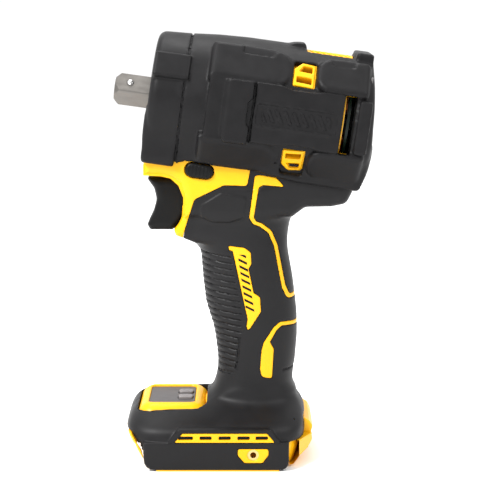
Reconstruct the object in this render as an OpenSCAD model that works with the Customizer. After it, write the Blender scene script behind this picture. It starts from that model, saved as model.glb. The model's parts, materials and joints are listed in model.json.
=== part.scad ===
// Compact cordless impact wrench, bare tool.
// X runs from the nose (-X) to the rear, Z is up, and the foot stands on z = 0.
// Head parts are drawn about the spindle axis: x runs to the rear and z is up across it.

/* [Overall] */
// Height of the spindle axis above the resting face, straight above the origin
head_height = 145.6; // [143:0.1:148]
// Angle by which the nose points up, degrees
head_tilt = 8; // [6:0.5:9]
// Half width of the battery foot
foot_half_w = 33; // [32:0.5:35]
// Thickness of the black skin on the housing
skin_t = 1.3; // [1:0.1:1.6]

/* [Drive] */
// Side of the square drive (3/8 inch)
drive_square = 9.53; // [9.4:0.01:9.6]
// Length of the square drive in front of the boot
drive_len = 14.4; // [12:0.1:16]
// Radius of the round shank behind the square
shank_r = 7; // [6.8:0.05:7.2]
// Radius of the detent pin
detent_r = 1.5; // [1.2:0.1:1.6]

/* [Gear train] */
// Gear module
gear_module = 0.7; // [0.65:0.01:0.7]
// Width of the planet gears
planet_w = 5.6; // [5:0.1:5.6]

/* [Motor] */
// Outer radius of the stator
stator_r = 22.3; // [21:0.1:22.3]
// Length of the stator and rotor stacks
stack_len = 11.5; // [10:0.1:11.5]
// Number of fan blades
fan_blades = 11; // [7:1:13]

/* [Fasteners] */
// Radius of the threaded bore in each belt-hook insert (M3 core)
insert_bore_r = 1.25; // [1.2:0.05:1.3]
// Length of each belt-hook insert
insert_len = 6.5; // [5:0.1:7]

/* [Hidden] */
$fn = 64;
run_gap = 0.05;                       // radial clearance of a running shaft
move_gap = 0.35;                      // space kept around other moving pieces
sun_teeth = 12;
planet_teeth = 18;
ring_teeth = sun_teeth + 2*planet_teeth;
planet_orbit = gear_module*(sun_teeth + planet_teeth)/2;
planet_pin_r = 2;
pressure_angle = 25;
half_backlash = 0.07;                 // taken off each tooth flank, along the pitch circle

// Stations along the spindle axis
s_boot_front = -39.2;
s_drive_tip = s_boot_front - drive_len;
s_detent = -47.5;
s_nose = -38.4;
s_case_floor = -23.4;
s_anvil_front = -22.6;
s_anvil_rear = -15.5;
s_hammer_front = -14;
s_hammer_rear = 0;
s_plate_front = 2.5;
s_planet = 6;
s_case_rear = 13.4;
s_gear_plate_rear = 19.4;
s_fan = 20.2;
s_stack = 27;
s_stack_rear = s_stack + stack_len;
s_sensor = 40.9;
s_barrel_front = 6;
s_barrel_rear = 43;
s_rear_bearing = 43.1;
s_cap_rear = 49;
s_boot_rear = 51.8;

// Radii about the spindle axis
case_bore_r = 19.3;
case_r = 22.4;
barrel_bore_r = 22.5;
barrel_r = 24.4;
boot_r = 27;
boss_orbit = 24.5;
boss_r = 3;
shaft_r = 2.5;
cam_shaft_r = 6.5;
hammer_r = 18.8;
rotor_r = 11.2;
wing_r = 17.5;
wing_half_angle = 26;
jaw_half_angle = 35;
// The jaws lie 1.5 degrees behind the wings that they strike
jaw_angle = wing_half_angle + jaw_half_angle + 1.5;
diagonals = [45, 135, 225, 315];
// Corner vents, turned a little from the diagonals towards the sides
vent_angles = [50, 130];

// Grip: height, front, rear and half width of each section over the black skin
grip_sections = [
    [20, -20, 24, 20], [25, -15.5, 21.5, 17.4], [31, -12.4, 20.2, 15.3], [38, -11.1, 21, 14.6],
    [50, -12.2, 22, 14.7], [62, -15.4, 21.6, 15], [75, -17.3, 20, 15.3], [86, -18.3, 17.9, 15.5],
    [90, -21, 17.6, 15.6], [93, -26, 17.8, 15.7], [95.4, -28.6, 18.2, 15.8], [100, -26, 19.6, 16],
    [104.5, -25.4, 24, 16.2], [112, -26.4, 30, 16.4]];
// Foot: the same, from the floor to the top of the dome
foot_sections = [
    [0, -44, 20, foot_half_w - 1.4], [2, -46, 22, foot_half_w - 0.3], [8, -48.6, 24, foot_half_w],
    [12.5, -49.4, 24.4, foot_half_w], [16.5, -48.4, 24.3, foot_half_w - 1.6],
    [19, -46.8, 23.4, foot_half_w - 7.2], [20.9, -44.6, 22, foot_half_w - 13],
    [22.6, -41, 20, foot_half_w - 20.5]];
// Outline of the block that carries the head, seen from the side
head_block = [
    [-41, 119], [-41, 123.4], [-38, 127.5], [30, 124], [46, 119.4], [44.2, 113.2], [42.6, 109.8],
    [40, 107.6], [35, 106.2], [24, 105.7], [19.5, 103.4], [-25, 103.4], [-24.9, 110],
    [-26.8, 114.9], [-30, 117.8], [-34, 118.7]];
// What the housing's block leaves free for the skin, under it and behind it
block_step = [
    [19, 100], [60, 100], [60, 130], [48, 130], [44.4, 119], [42.7, 113.6], [41.2, 110.6],
    [38.8, 108.9], [34.8, 107.6], [24, 107.1], [19, 105]];
block_half_w = 16.8;
// Hollow of the head block, seen from the side
block_hollow = [
    [-22, 119], [-22, 100], [14, 100], [23, 108.6], [35.5, 109.2], [39.6, 113.6], [30, 126], [4, 126]];
hollow_half_w = 12;
wall_t = 2;

// Controls
button_x = -18.35;
button_z = 121.1;
button_half_h = 2.9;
button_flat = 5.6;
button_half_len = 18.4;
trigger_half_w = 9;
trigger_back_x = -22;
switch_front_x = -14;
trigger_stem_z = 108;
trigger_stem_r = 3;
trigger_outline = [
    [-40, 116.6], [-37, 112.5], [-36.7, 108], [-37.5, 104], [-39.2, 99.6], [-40, 97], [-39, 95.4],
    [-29.5, 95.4], [-22, 98.5], [-22, 114.6], [-30, 114.6], [-34, 116.8]];

// Mode panel on the foot
panel_x = [-40, -21];
panel_half_w = 13;
bezel_x = [-44.4, -16];
bezel_half_w = 19;
panel_top = 23.3;
key_size = [6, 4.4];
key_x = -25;
key_y = 4;

// Battery foot
insert_x = 3.4;
insert_z = 6.9;
insert_r = 2.3;
bay_ceiling = 11;
blade_count = 4;

// Screws through the two housing halves: x and z of each
housing_screw_spots = [[-35, 120.8], [34, 112.6], [9.8, 90.6], [-9.8, 81], [-3, 44], [13.6, 44]];
screw_seat_y = 9.2;

// ---------- shared shapes ----------

// Places head parts: x along the spindle axis to the rear, z up across it
module in_head() translate([0, 0, head_height]) rotate([0, head_tilt, 0]) children();

// Turns z onto the spindle axis, starting at station s
module on_axis(s = 0) translate([s, 0, 0]) rotate([0, 90, 0]) children();

// Puts a shape drawn along z at radius orbit, on the given angles round the axis
module around(angles, orbit) for (a = angles) rotate([0, 0, a]) translate([orbit, 0, 0]) children();

module ring(r_out, r_in, len) rotate_extrude() translate([r_in, 0]) square([r_out - r_in, len]);

// A side view outline in x and z, given a thickness from y0 to y1
module side_plate(outline, y0, y1) translate([0, y1, 0]) rotate([90, 0, 0])
    linear_extrude(y1 - y0) polygon(outline);

module rounded_rect(size, r) hull() for (x = [-1, 1], y = [-1, 1])
    translate([x*(size[0]/2 - r), y*(size[1]/2 - r)]) circle(r, $fn = 32);

module half_space(side) translate([-100, side > 0 ? 0 : -100, -10]) cube([200, 100, 220]);

// Rounded section: an oval whose corners fill out as the power grows
function oval(cx, rx, ry, z, power, n) = [for (i = [0:n - 1]) let (a = 360*(i + 0.5)/n)
    [cx + rx*sign(cos(a))*pow(abs(cos(a)), 2/power), ry*sign(sin(a))*pow(abs(sin(a)), 2/power), z]];

// Solid through a stack of rings with the same number of points
module skin_rings(rings) {
    n = len(rings[0]);
    m = len(rings);
    points = [for (r = rings) each r];
    faces = concat(
        [[for (j = [0:n - 1]) j]],
        [[for (j = [0:n - 1]) (m - 1)*n + n - 1 - j]],
        [for (i = [0:m - 2], j = [0:n - 1]) let (a = i*n + j, b = i*n + (j + 1) % n) [a, a + n, b]],
        [for (i = [0:m - 2], j = [0:n - 1]) let (a = i*n + j, b = i*n + (j + 1) % n) [b, a + n, b + n]]);
    polyhedron(points, faces, convexity = 6);
}

module loft(sections, inset, power, n) skin_rings([for (s = sections)
    oval((s[1] + s[2])/2, (s[2] - s[1])/2 - inset, s[3] - inset, s[0], power, n)]);

// Round wire wound to the given radius, from z = 0 to z = length
module coil(r, wire_r, length, turns) {
    steps = ceil(turns*12);
    skin_rings([for (i = [0:steps]) let (a = 360*turns*i/steps,
        z = wire_r + (length - 2*wire_r)*i/steps) [for (j = [0:5]) let (b = -60*j)
        [(r + wire_r*cos(b))*cos(a), (r + wire_r*cos(b))*sin(a), z + wire_r*sin(b)]]]);
}

module screw(head_r, head_h, r, len) {
    difference() {
        translate([0, 0, -head_h]) cylinder(r = head_r, h = head_h);
        translate([0, 0, -head_h - 1]) cylinder(r = head_r*0.5, h = 1 + head_h*0.6, $fn = 6);
    }
    cylinder(r = r, h = len);
}

// Outer race, inner race and balls
module ball_bearing(r_in, r_out, w, balls) {
    third = (r_out - r_in)*0.3;
    mid = (r_in + r_out)/2;
    ball_r = (r_out - r_in)*0.18;
    ring(r_in + third, r_in, w);
    ring(r_out, r_out - third, w);
    around([for (i = [0:balls - 1]) 360*i/balls], mid) translate([0, 0, w/2]) sphere(ball_r);
}

// Half angle of a tooth at radius r, from the involute of the base circle
function involute(a) = tan(a)*180/PI - a;
function tooth_half_angle(teeth, r, slack) = let (rp = gear_module*teeth/2,
    rb = rp*cos(pressure_angle), at = acos(min(1, rb/r)))
    90/teeth - slack/rp*180/PI + involute(pressure_angle) - involute(at);

// Gear outline, with tooth 0 centred on the x axis
function gear_outline(teeth, root, tip, slack) = let (rp = gear_module*teeth/2,
    rb = rp*cos(pressure_angle), low = max(root, rb + 0.01), steps = 4,
    flank = [for (i = [0:steps]) low + (tip - low)*i/steps])
    [for (t = [0:teeth - 1]) each concat(
        [let (a = 360*t/teeth - tooth_half_angle(teeth, low, slack)) root*[cos(a), sin(a)]],
        [for (r = flank) let (a = 360*t/teeth - tooth_half_angle(teeth, r, slack)) r*[cos(a), sin(a)]],
        [for (i = [steps:-1:0]) let (r = flank[i], a = 360*t/teeth + tooth_half_angle(teeth, r, slack))
            r*[cos(a), sin(a)]],
        [let (a = 360*t/teeth + tooth_half_angle(teeth, low, slack)) root*[cos(a), sin(a)]])];

module gear(teeth, w) {
    rp = gear_module*teeth/2;
    linear_extrude(w) polygon(gear_outline(teeth, rp - 1.2*gear_module, rp + 0.85*gear_module,
        half_backlash));
}

// ---------- housing ----------

module grip_form(inset) loft(grip_sections, inset, 2.5, 32);

// Inside the skin, the housing's shoulders are lower as well as narrower
module foot_form(inset) loft([for (s = foot_sections) [s[0] - (s[0] > 13 ? inset : 0), s[1], s[2], s[3]]],
    inset, 5, 48);

module block_form(inset) difference() {
    side_plate(head_block, inset - block_half_w, block_half_w - inset);
    if (inset > 0) side_plate(block_step, -block_half_w - 1, block_half_w + 1);
}

// Vent seats in the four corner windows; the outer front corner is cut off
module vent_plate(outline, r0, r1) in_head() for (side = [-1, 1], up = [0, 1])
    rotate([side*vent_angles[up], 0, 0]) translate([0, 0, r0]) linear_extrude(r1 - r0)
    polygon([for (p = outline) [p[0], p[1]*side*(1 - 2*up)]]);

module vent_blocks() vent_plate([[17, -5.6], [26, -5.6], [26, 5.6], [20.6, 5.6], [17, 2]], 22, 26);
module vent_slots() {
    vent_plate([[18.2, -4.4], [24.8, -4.4], [24.8, -0.8], [18.2, -0.8]], 20, 28);
    vent_plate([[19, 0.6], [24.8, 0.6], [24.8, 4.5], [21, 4.5]], 20, 28);
}

// Openings at the sides, where the motor draws its air in
module side_slots() in_head() translate([39.3, -30, -11.4]) cube([10, 60, 22.8]);

module top_slots() in_head() for (i = [0:6]) translate([23.6 + 2.3*i, -7, 21]) cube([1.2, 14, 5]);

module barrel_form() in_head() {
    on_axis(s_barrel_front) cylinder(r = barrel_r, h = s_barrel_rear - s_barrel_front);
    on_axis(s_barrel_front) around(diagonals, boss_orbit) cylinder(r = boss_r, h = 7.6);
    on_axis(29) around(diagonals, boss_orbit) cylinder(r = boss_r, h = s_barrel_rear - 29);
}

// Room inside for the hammer case, the gears and the motor
module head_room() in_head() {
    on_axis(-45) cylinder(r = barrel_bore_r, h = 46 + s_barrel_rear);
    on_axis(-20) around(diagonals, boss_orbit) cylinder(r = boss_r + 0.3, h = 20.3 + s_barrel_front);
    on_axis(s_barrel_rear) cylinder(r = barrel_r + 0.3, h = 12);
    on_axis(s_barrel_rear) around(diagonals, boss_orbit) cylinder(r = boss_r + 0.3, h = 12);
    on_axis(0) around(diagonals, boss_orbit) cylinder(r = 1.5, h = 60);
}

module trigger_room() side_plate([[-50, 95], [-50, 117.2], [-16, 117.2], [-16, 98], [-23.4, 95]],
    -trigger_half_w - move_gap, trigger_half_w + move_gap);

module button_shape(gap) translate([button_x, 0, button_z]) rotate([0, head_tilt, 0])
    rotate([90, 0, 0]) linear_extrude(60, center = true) {
        square([button_flat, 2*(button_half_h + gap)], center = true);
        for (x = [-1, 1]) translate([x*button_flat/2, 0]) circle(button_half_h + gap);
    }

module battery_bay() {
    translate([-60, -29, -1]) cube([58, 58, 1 + bay_ceiling]);
    translate([-60, -24, -1]) cube([68, 48, 1 + bay_ceiling]);
}

module battery_rails() for (side = [-1, 1]) translate([-36, side > 0 ? 25.4 : -29.4, 2.4])
    cube([35, 4, 2.6]);

module electronics_room() {
    translate([-41, -18, 13.4]) cube([59, 36, 4.8]);
    translate([panel_x[0] + 1, 1 - panel_half_w, 18]) cube([17, 2*panel_half_w - 2, 8]);
    translate([-2, -8, 17]) cube([12, 16, 5]);
}

module screw_tunnels() for (spot = housing_screw_spots) translate([spot[0], 0, spot[1]])
    rotate([-90, 0, 0]) {
        translate([0, 0, -9.5]) cylinder(r = 1.6, h = 40);
        translate([0, 0, screw_seat_y]) cylinder(r = 3.1, h = 20);
    }

module screw_posts() for (spot = housing_screw_spots) translate([spot[0], -12.5, spot[1]])
    rotate([-90, 0, 0]) cylinder(r = 4, h = 25);

// Room inside the handle, the block under the head and the foot
module handle_room() {
    intersection() {
        grip_form(skin_t + wall_t);
        translate([-50, -50, 19]) cube([100, 100, 84]);
    }
    side_plate(block_hollow, -hollow_half_w, hollow_half_w);
}

module insert_holes() for (side = [-1, 1]) translate([insert_x, side*40, insert_z])
    rotate([side*90, 0, 0]) cylinder(r = insert_r, h = 41.2 - foot_half_w + insert_len);

module housing_half(side) intersection() {
    half_space(side);
    difference() {
        union() {
            difference() {
                union() {
                    grip_form(skin_t);
                    foot_form(skin_t);
                    block_form(skin_t);
                    barrel_form();
                    vent_blocks();
                }
                handle_room();
                electronics_room();
                battery_bay();
            }
            battery_rails();
            intersection() {
                screw_posts();
                union() {
                    grip_form(skin_t + 0.1);
                    block_form(skin_t + 0.1);
                }
            }
        }
        head_room();
        vent_slots();
        side_slots();
        top_slots();
        trigger_room();
        button_shape(0.25);
        screw_tunnels();
        insert_holes();
        translate([-12, -10.5, 10]) cube([18, 21, 5]);
        bezel_form(0.02);
    }
}

module housing_left() color("gold") housing_half(-1);
module housing_right() color("gold") housing_half(1);

// Yellow housing that shows through the skin round the trigger
module trigger_frame_window() side_plate([[-45, 130], [-45, 90], [-25, 95], [-22, 104], [-20, 109],
    [-8.5, 115.2], [1, 115.5], [2, 120.5], [2, 130]], -30, 30);

// Skin: a layer over the grip, the block and the foot
module skin_half(side) intersection() {
    half_space(side);
    difference() {
        union() {
            grip_form(0);
            foot_form(0);
            block_form(0);
        }
        grip_form(skin_t);
        foot_form(skin_t);
        block_form(skin_t);
        in_head() on_axis(-60) cylinder(r = 27.6, h = 120);
        vent_blocks();
        trigger_room();
        trigger_frame_window();
        screw_tunnels();
        insert_holes();
        battery_bay();
        translate([0, 0, -1]) linear_extrude(1.5) square(200, center = true);
        // The front lip and the bumper stay bare
        side_plate([[-60, -2], [-41.5, -2], [-41.5, 9.5], [-48, 17], [-60, 17]], -40, 40);
        side_plate([[17.8, -2], [40, -2], [40, 17.2], [17.8, 17.2]], -40, 40);
        bezel_form(0.02);
        // Side vent and belt-hook boss show the housing
        for (y = [-40, foot_half_w - skin_t - 0.5]) {
            side_plate([[-28.3, 12], [12, 12], [9, 16], [-25, 16]], y, y + 8);
            side_plate([[-2.7, 9.4], [9.5, 9.4], [7, 3.9], [0, 3.9]], y, y + 8);
        }
    }
}

module grip_skin_left() color("#2b2a2c") skin_half(-1);
module grip_skin_right() color("#2b2a2c") skin_half(1);

// Bevelled bar on the boot: from s0 to s1, centred on an angle, w wide, standing out to r
module boot_bar(angle, s0, s1, w, r) rotate([angle, 0, 0]) translate([s0, 0, 0])
    rotate([90, 0, 90]) linear_extrude(s1 - s0) polygon([[-w/2, 22], [w/2, 22], [w/2, r - 2],
        [w/2 - 2, r], [2 - w/2, r], [-w/2, r - 2]]);

module protective_boot() color("#262527") difference() {
    boot_form();
    button_shape(0.4);
}

module boot_form() in_head() difference() {
    union() {
        on_axis() rotate_extrude() polygon([[0, s_boot_front], [22.5, s_boot_front],
            [24.6, s_boot_front + 1], [25.2, -37], [25.8, -26], [boot_r, -5], [boot_r, 48.5],
            [25.6, 51], [23, s_boot_rear], [0, s_boot_rear]]);
        for (side = [-1, 1], up = [45, 135]) {
            boot_bar(side*up, -15.8, 15.4, 16, 29.6);
            boot_bar(side*up, 27, 49.8, 15, 29.2);
        }
        for (side = [-1, 1]) boot_bar(side*90, -9.4, 2, 22, 28.9);
        boot_bar(0, 14.4, 21, 12, 29.4);
        boot_bar(0, 41, 49.5, 24, 29.2);
    }
    on_axis() rotate_extrude() polygon([[0, s_nose - 5], [17.4, s_nose - 5], [17.4, -36], [17.6, -34],
        [22.7, -25.4], [22.7, s_barrel_front - 0.2], [24.6, s_barrel_front - 0.2],
        [24.6, s_cap_rear + 0.2], [18, s_cap_rear + 0.2], [18, s_boot_rear + 5], [0, s_boot_rear + 5]]);
    on_axis(-15.2) around(diagonals, boss_orbit) cylinder(r = boss_r + 0.2, h = 30.4);
    on_axis(28.4) around(diagonals, boss_orbit) cylinder(r = boss_r + 0.2, h = 20.7);
    // Windows for the corner vents, the side band and the top grille
    for (side = [-1, 1], a = vent_angles) rotate([side*a, 0, 0]) translate([16.6, -6, 20]) cube([9.8, 12, 15]);
    for (side = [-1, 1]) translate([38.4, side > 0 ? 20 : -40, -11.7]) cube([4.8, 20, 23.4]);
    translate([22, -9, 15]) cube([18.5, 18, 20]);
    // Slot underneath for the handle
    translate([-37.6, -17, -60]) cube([120, 34, 42.3]);
}

module rear_cap() color("#2f2e31") in_head() difference() {
    union() {
        on_axis(s_barrel_rear + 0.05) cylinder(r = barrel_r, h = s_cap_rear - s_barrel_rear - 0.05);
        on_axis(s_barrel_rear + 0.05) around(diagonals, boss_orbit) cylinder(r = boss_r, h = 4);
    }
    on_axis(s_barrel_rear - 1) cylinder(r = 6.05, h = 1 + 3.3);
    on_axis(s_barrel_rear - 1) cylinder(r = 4.5, h = 1 + 4.2);
    on_axis(s_barrel_rear - 1) difference() {
        cylinder(r = 21.8, h = 1 + 3.4);
        cylinder(r = 9, h = 1 + 3.4);
    }
    on_axis(s_barrel_rear - 1) around(diagonals, boss_orbit) cylinder(r = 1.6, h = 20);
    on_axis(s_barrel_rear + 4.05) around(diagonals, boss_orbit) cylinder(r = boss_r + 0.2, h = 20);
    on_axis(s_barrel_rear) around([for (i = [0:11]) 30*i + 15], 13.5) translate([-4, -1, 0])
        cube([8, 2, 12]);
}

module foot_bumper() color("gold") difference() {
    side_plate([[17.9, 1.2], [22.4, 1.2], [27.6, 5.4], [29, 8.4], [29, 12.4], [26.6, 15.6], [21.5, 17.1],
        [17.9, 17.1]], -25, 25);
    foot_form(skin_t - 0.02);
    for (side = [-1, 1]) linear_extrude(60, center = true)
        polygon([[21, side*26], [25, side*22], [31, side*17], [31, side*26]]);
}

module bezel_form(gap) translate([(bezel_x[0] + bezel_x[1])/2, 0, 19 - gap]) hull() {
    size = [bezel_x[1] - bezel_x[0] + 2*gap, 2*bezel_half_w + 2*gap];
    linear_extrude(2.2) rounded_rect(size, 7);
    linear_extrude(5 + 2*gap) rounded_rect(size - [3.6, 6.4], 6);
}

module mode_bezel() color("gold") difference() {
    bezel_form(0);
    translate([panel_x[0], -panel_half_w, 18])
        cube([panel_x[1] - panel_x[0], 2*panel_half_w, 8]);
}

module mode_panel() color("#4a4648") difference() {
    translate([panel_x[0] + 0.05, 0.05 - panel_half_w, 22.3])
        cube([panel_x[1] - panel_x[0] - 0.1, 2*panel_half_w - 0.1, panel_top - 22.3]);
    for (y = [-1, 1]) key_block(y*key_y, 0.25, 20, 10);
}

module key_block(y, gap, z, h) translate([key_x - key_size[0]/2 - gap, y - key_size[1]/2 - gap, z])
    cube([key_size[0] + 2*gap, key_size[1] + 2*gap, h]);

module key_body(y) {
    key_block(y, 0, 21.6, 2.6);
    translate([key_x, y, 21.1]) cylinder(r = 1, h = 1);
}

module mode_key() color("#8d8788") key_body(-key_y);
module lamp_key() color("#8d8788") key_body(key_y);

module mode_board() color("darkgreen") {
    translate([panel_x[0] + 1.4, 1.4 - panel_half_w, 18.4]) cube([16.2, 2*panel_half_w - 2.8, 1.2]);
    for (y = [-1, 1]) translate([key_x, y*key_y, 19.6]) cylinder(r = 1.6, h = 0.8);
}

// ---------- fasteners ----------

module housing_screws() color("dimgray") for (spot = housing_screw_spots)
    translate([spot[0], screw_seat_y, spot[1]]) rotate([90, 0, 0]) screw(2.9, 2.2, 1.5, 17.5);

module rear_cap_screws() color("dimgray") in_head() for (a = diagonals) rotate([a - 90, 0, 0])
    translate([s_barrel_rear + 4.05, 0, boss_orbit]) rotate([0, -90, 0]) screw(2.7, 1.8, 1.4, 16);

module hammer_case_screws() color("dimgray") in_head() for (a = diagonals) rotate([a - 90, 0, 0])
    translate([-13.05, 0, boss_orbit]) rotate([0, 90, 0]) screw(2.7, 1.8, 1.4, 26);

module belt_hook_inserts() color("#b8963e") for (side = [-1, 1])
    translate([insert_x, side*foot_half_w, insert_z]) rotate([side*90, 0, 0]) translate([0, 0, 0.6])
        ring(insert_r, insert_bore_r, insert_len);

// ---------- hammer mechanism ----------

module hammer_case() color("silver") in_head() difference() {
    union() {
        on_axis() rotate_extrude() polygon([[9, s_nose], [12, s_nose], [12.4, -33.6], [17, -31.4],
            [case_r, -24.6], [case_r, s_barrel_front - 0.3], [case_r, s_case_rear], [20.5, s_case_rear],
            [20.5, 5.7], [case_bore_r, 5.7], [case_bore_r, s_case_floor], [9, s_case_floor]]);
        on_axis(-13) around(diagonals, boss_orbit) cylinder(r = boss_r, h = 13 + s_barrel_front - 0.1);
    }
    on_axis(-20) around(diagonals, boss_orbit) cylinder(r = 1.6, h = 40);
    on_axis(-16) around(diagonals, boss_orbit) cylinder(r = boss_r, h = 3);
    on_axis(5.7) cylinder(r = 20.5, h = 20);
    on_axis(s_case_floor) cylinder(r = case_bore_r, h = 40);
}

module anvil() color("#9a958f") in_head() difference() {
    union() {
        on_axis(s_drive_tip) intersection() {
            linear_extrude(drive_len + 1) rotate(45) square(drive_square, center = true);
            rotate_extrude() polygon([[0, 0], [4.6, 0], [6.45, 2], [6.45, drive_len + 1],
                [0, drive_len + 1]]);
        }
        on_axis() rotate_extrude() polygon([[0, s_boot_front + 0.6], [6.4, s_boot_front + 0.6],
            [shank_r, s_nose], [shank_r, s_anvil_front], [9, s_anvil_front], [9, s_anvil_rear],
            [0, s_anvil_rear]]);
        on_axis(s_anvil_front) for (side = [0, 180]) rotate([0, 0, side]) rotate([0, 0, -wing_half_angle])
            rotate_extrude(angle = 2*wing_half_angle) translate([8.5, 0])
                square([wing_r - 8.5, s_anvil_rear - s_anvil_front - 1]);
    }
    on_axis(s_anvil_rear - 6.5) cylinder(r = 3.5 + run_gap, h = 8);
    detent_frame(-2.9) cylinder(r = detent_r + run_gap, h = 12);
}

// Along the detent pin, square to the drive's upper left face, from distance d
module detent_frame(d) translate([s_detent, 0, 0]) rotate([45, 0, 0]) translate([0, 0, d]) children();

module detent_pin() color("lightgray") in_head() detent_frame(0) {
    translate([0, 0, 1.3]) cylinder(r = detent_r, h = 3.1);
    translate([0, 0, 4.4]) rotate_extrude() intersection() {
        circle(detent_r);
        square(detent_r);
    }
}

module detent_spring() color("silver") in_head() detent_frame(-2.8) coil(1, 0.22, 4, 5);

module anvil_bushing() color("#a8873c") in_head() on_axis(-35.8)
    ring(9, shank_r + run_gap, 35.8 + s_case_floor);

module nose_seal() color("#1c1c1c") in_head() on_axis(-37.9) ring(9, shank_r + run_gap, 1.9);

module thrust_washer() color("silver") in_head() on_axis(s_case_floor) ring(14, shank_r + 0.3, 0.6);

module nose_ring() color("#232224") in_head() difference() {
    on_axis() rotate_extrude() polygon([[12.5, -38.3], [17, -38.3], [17.2, -36], [17.2, -33.2],
        [16, -32.8], [16, -34.4], [12.8, -34.4], [12.5, -36]]);
    on_axis() around([0, 120, 240], 14.8) translate([0, 0, -40]) cylinder(r = 1.6, h = 8);
}

module lamp_board() color("darkgreen") in_head() on_axis(-34.3) ring(15.6, 12.9, 0.8);

module lamp_lenses() color("white", 0.7) in_head() on_axis(-38) around([0, 120, 240], 14.8)
    cylinder(r = 1.58, h = 3);

module hammer() color("#6f6c6a") in_head() difference() {
    union() {
        on_axis() rotate_extrude() polygon([[cam_shaft_r + run_gap, s_hammer_front],
            [hammer_r, s_hammer_front], [hammer_r, s_hammer_rear], [16.2, s_hammer_rear],
            [16.2, -8], [8.3, -8], [8.3, -3.5], [cam_shaft_r + run_gap, -3.5]]);
        on_axis(-19.6) for (side = [0, 180]) rotate([0, 0, side + jaw_angle - jaw_half_angle])
            rotate_extrude(angle = 2*jaw_half_angle) translate([9.8, 0])
                square([hammer_r - 9.8, 19.6 + s_hammer_front + 0.5]);
    }
    for (side = [0, 180]) rotate([side, 0, 0]) translate([-16, -1.8, 4]) cube([5.9, 3.6, 4.2]);
}

module hammer_spring() color("silver") in_head() on_axis(-7.9) coil(11.8, 1, 10.3, 3.4);

module cam_balls() color("gray") in_head() for (side = [0, 180]) rotate([side, 0, 0])
    translate([-11.8, 0, 6.3]) sphere(1.5);

module cam_carrier() color("#85817d") in_head() difference() {
    union() {
        on_axis() rotate_extrude() polygon([[0, -21.5], [3.1, -21.5], [3.5, -21], [3.5, -15.1],
            [cam_shaft_r, -15.1], [cam_shaft_r, s_plate_front], [15.6, s_plate_front],
            [15.6, s_planet - 0.5], [0, s_planet - 0.5]]);
        on_axis() rotate_extrude() polygon([[5.6, 11.9], [15.6, 11.9], [15.6, 13.2], [8, 13.2],
            [8, 15.8], [5.6, 15.8]]);
        on_axis(s_planet - 1) around([60, 180, 300], 12.7) cylinder(r = 2.8, h = 7.5);
    }
    on_axis(2) around([0, 120, 240], planet_orbit) cylinder(r = planet_pin_r, h = 12);
    for (side = [0, 180]) rotate([side, 0, 0]) translate([-11.8, 0, 6.3]) sphere(1.52);
}

module planet_pins() color("silver") in_head() on_axis(2.7) around([0, 120, 240], planet_orbit)
    cylinder(r = planet_pin_r, h = 10.3);

module planet_gear(i) color("#8f8b86") in_head() on_axis(s_planet) rotate([0, 0, 120*i])
    translate([planet_orbit, 0, 0]) difference() {
        rotate([0, 0, 180/planet_teeth]) gear(planet_teeth, planet_w);
        translate([0, 0, -1]) cylinder(r = planet_pin_r + run_gap, h = planet_w + 2);
    }

module planet_gear_1() planet_gear(0);
module planet_gear_2() planet_gear(1);
module planet_gear_3() planet_gear(2);

module ring_gear() color("#7b7875") in_head() on_axis(s_planet - 0.1) difference() {
    cylinder(r = 20.45, h = 7.4);
    translate([0, 0, -1]) rotate([0, 0, 180/ring_teeth]) linear_extrude(10)
        polygon(gear_outline(ring_teeth, gear_module*(ring_teeth/2 - 0.85),
            gear_module*(ring_teeth/2 + 1.2), -half_backlash));
}

module gear_plate() color("#3a393b") in_head() on_axis(s_case_rear + 0.1) difference() {
    cylinder(r = case_r, h = s_gear_plate_rear - s_case_rear - 0.1);
    translate([0, 0, -1]) cylinder(r = 11.5, h = 1 + 2.6);
    cylinder(r = 5.2, h = 10);
    translate([0, 0, 3.1]) cylinder(r = 6.5, h = 10);
}

module carrier_bearing() color("silver") in_head() on_axis(s_case_rear + 0.2)
    ball_bearing(8 + run_gap, 11.5, 2.3, 11);

// ---------- motor ----------

module rotor_shaft() color("silver") in_head() {
    on_axis(s_planet + 0.2) gear(sun_teeth, 6);
    on_axis(s_planet + 6.2) cylinder(r = shaft_r, h = 40.2 - s_planet);
}

module front_rotor_bearing() color("silver") in_head() on_axis(16.7)
    ball_bearing(shaft_r + run_gap, 6.5, 2.6, 7);

module rear_rotor_bearing() color("silver") in_head() on_axis(s_rear_bearing)
    ball_bearing(shaft_r + run_gap, 6.05, 3, 7);

module rotor_stack() color("#5d5b5a") in_head() on_axis(s_stack) difference() {
    cylinder(r = rotor_r, h = stack_len);
    translate([0, 0, -1]) cylinder(r = shaft_r, h = stack_len + 2);
    around([45, 135, 225, 315], 8.2) translate([0, 0, stack_len/2])
        cube([2, 9, stack_len + 2], center = true);
}

module rotor_magnets() color("#8c8c94") in_head() on_axis(s_stack)
    around([45, 135, 225, 315], 8.2) translate([0, 0, stack_len/2])
        cube([1.98, 8.98, stack_len - 0.4], center = true);

module fan() color("#29282a") in_head() on_axis(s_fan) difference() {
    union() {
        ring(20.4, shaft_r, 1);
        ring(5.4, shaft_r, 4.4);
        for (i = [0:fan_blades - 1]) rotate([0, 0, 360*i/fan_blades]) translate([12.8, 0, 0])
            rotate([0, 0, 28]) translate([-7, -0.5, 0.5]) cube([13.4, 1, 3.9]);
    }
    translate([0, 0, 1.6]) difference() {
        cylinder(r = 30, h = 6);
        translate([0, 0, -1]) cylinder(r = 20.4, h = 8);
    }
}

slot_angles = [for (i = [0:5]) 60*i];

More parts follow.
